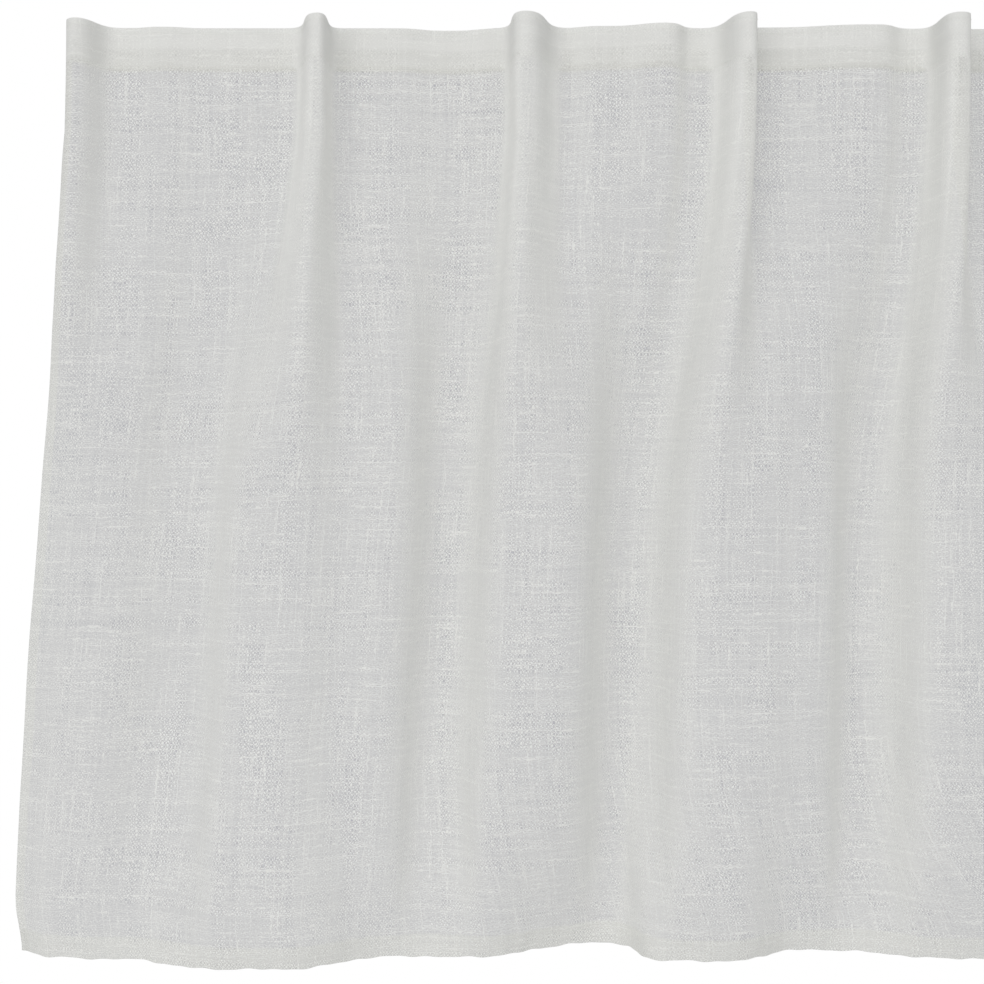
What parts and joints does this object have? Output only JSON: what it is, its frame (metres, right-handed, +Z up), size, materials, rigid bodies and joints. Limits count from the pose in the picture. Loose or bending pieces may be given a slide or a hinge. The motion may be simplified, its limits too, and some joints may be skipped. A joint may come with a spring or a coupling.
{
  "type": "window valance",
  "caption": "Sheer linen-look window valance hanging from a narrow pleated heading in soft uneven folds, with a turned hem.",
  "frame": {"origin": "middle of the top edge: halfway across the heading, on the cloth's mid-surface between two pleats", "axes": "+Z up, +X along the width to the right as seen from the front, +Y out of the back: the front of the cloth faces -Y"},
  "size_m": [1.1234, 0.0652, 0.5],
  "materials": {
    "sheer_cloth": "sheer off-white slub plain weave, matt",
    "woven_tape": "warm white narrow woven tape, matt"
  },
  "bodies": {
    "root": {"valance_panel": "sheer_cloth", "heading_tape": "woven_tape"}
  },
  "joints": []
}
